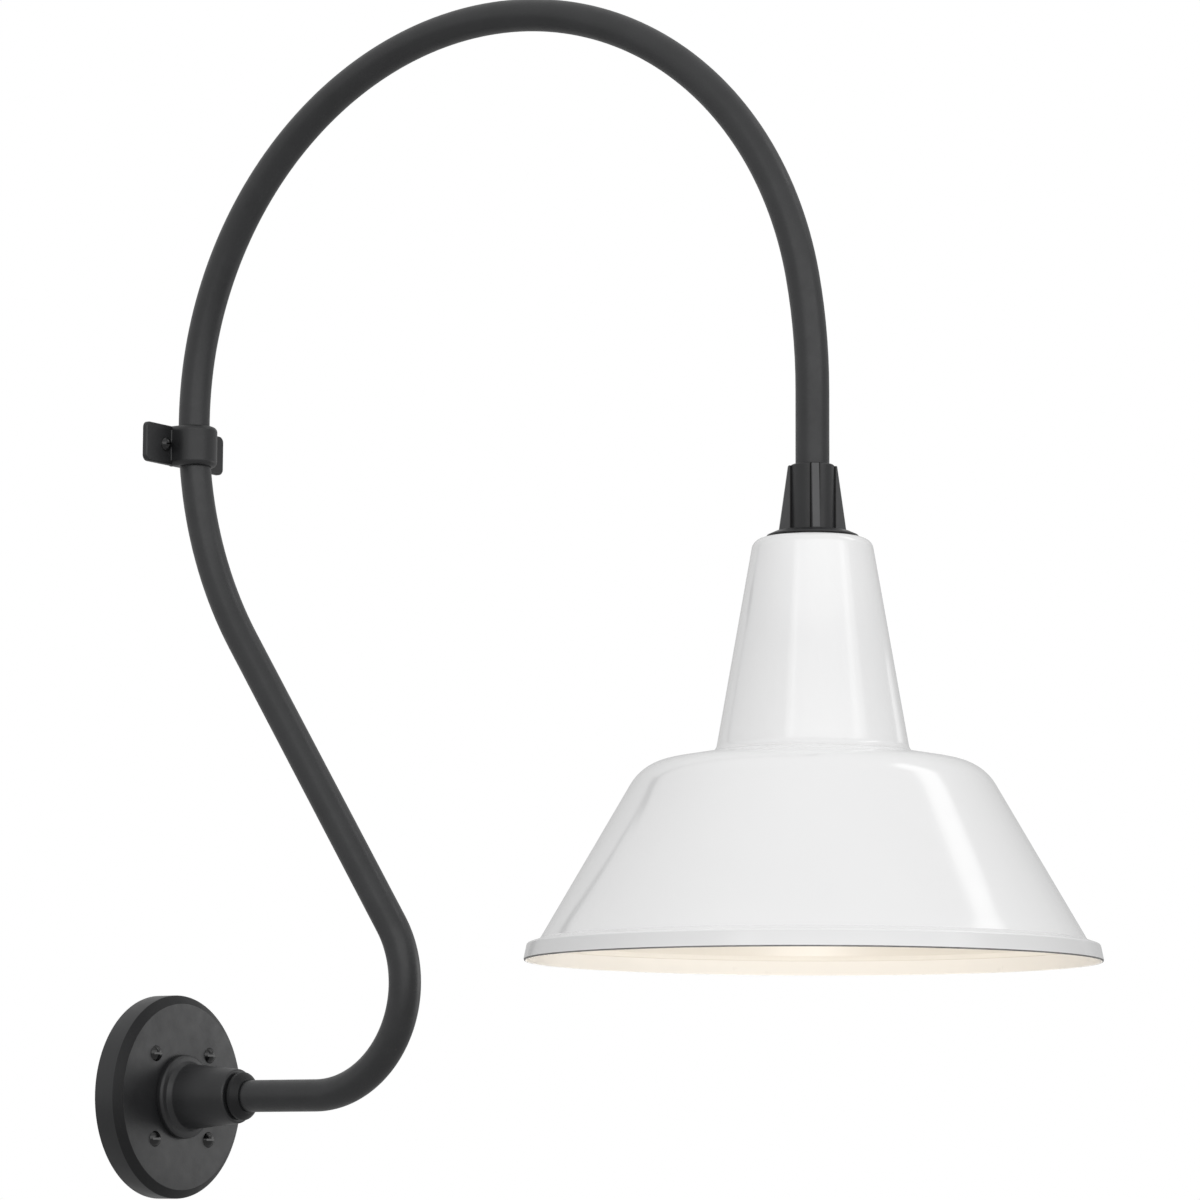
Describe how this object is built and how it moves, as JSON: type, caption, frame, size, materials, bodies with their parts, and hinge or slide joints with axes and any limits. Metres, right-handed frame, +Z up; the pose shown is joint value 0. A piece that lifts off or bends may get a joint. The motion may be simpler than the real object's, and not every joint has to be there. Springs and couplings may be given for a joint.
{
  "type": "barn light",
  "caption": "Wall-mounted barn light: round backplate, long hooked tube arm with a wall clamp, ribbed cap and a spun metal shade over a screw-in bulb.",
  "frame": {"origin": "centre of the wall plane behind the round backplate, on the wall box's axis", "axes": "+X out of the wall along the hub, +Y along the wall, +Z up"},
  "size_m": [0.6906, 0.3546, 0.7827],
  "materials": {
    "foam": "closed-cell foam",
    "zinc_steel": "zinc plated",
    "green_steel": "green dyed",
    "black_casting": "satin black powder coat on a casting",
    "black_hardware": "satin black",
    "black_plastic": "matte",
    "black_tube": "satin black powder coat on a tube",
    "gasket_rubber": "matte",
    "white_enamel": "gloss white outside, warm cream inside",
    "brass": "satin",
    "porcelain": "glazed porcelain",
    "nickel": "nickel plated",
    "black_insulation": "wire insulation",
    "white_insulation": "wire insulation",
    "green_insulation": "wire insulation",
    "grey_plastic": "moulded",
    "solder": "tinned",
    "black_glass": "vitreous black",
    "opal_glass": "inside frosted white",
    "clear_glass": "clear",
    "tungsten": "drawn wire"
  },
  "bodies": {
    "fixture": {"arm_tube": "black_tube", "backplate": "black_casting", "backplate_screws": "black_hardware", "cap_gasket": "gasket_rubber", "cap_set_screw": "black_hardware", "clamp_block": "black_casting", "clamp_screws": "black_hardware", "clamp_strap": "black_casting", "contact_foot": "brass", "ground_lugs": "nickel", "ground_screw": "green_steel", "holder_screws": "zinc_steel", "holder_strap": "zinc_steel", "hub": "black_casting", "hub_collar": "black_casting", "hub_locknut": "zinc_steel", "hub_set_screw": "black_hardware", "hub_washer": "zinc_steel", "lampholder_body": "porcelain", "lead_ground": "green_insulation", "lead_line": "black_insulation", "lead_neutral": "white_insulation", "mounting_plate": "zinc_steel", "nipple": "zinc_steel", "nipple_locknuts": "brass", "plate_nuts": "zinc_steel", "screw_shell": "nickel", "shade": "white_enamel", "shade_cap": "black_casting", "shade_washer": "zinc_steel", "shell_rivets": "brass", "strap_ground_screw": "green_steel", "terminal_plates": "brass", "terminal_screws": "brass", "wall_gasket": "foam", "wire_bushing": "black_plastic", "wire_connectors": "grey_plastic"},
    "bulb_travel_body": {"bulb_contact": "solder"},
    "bulb": {"bulb_glass": "opal_glass", "bulb_screw_cap": "nickel", "bulb_insulator": "black_glass", "bulb_stem": "clear_glass", "bulb_filament": "tungsten", "bulb_support_wires": "nickel"},
    "leaf": {"contact_leaf": "brass"}
  },
  "joints": [
    {"name": "bulb_travel", "type": "slide", "parent": "fixture", "child": "bulb_travel_body", "axis": [0, 0, -1], "range_m": [0, 0.01815]},
    {"name": "bulb_turn", "type": "hinge", "parent": "bulb_travel_body", "child": "bulb", "pos_m": [0.51337, 0, 0.29], "axis": [0, 0, -1], "range_deg": [0, 1800]},
    {"name": "contact_flex", "type": "hinge", "parent": "fixture", "child": "leaf", "pos_m": [0.50837, 0, 0.3061], "axis": [0, -1, 0], "range_deg": [0, 8], "stiffness_Nm_per_rad": 0.4}
  ],
  "couplings": [
    {"joint": "bulb_travel", "follows": "bulb_turn", "m_per_rad": 0.00057757}
  ]
}
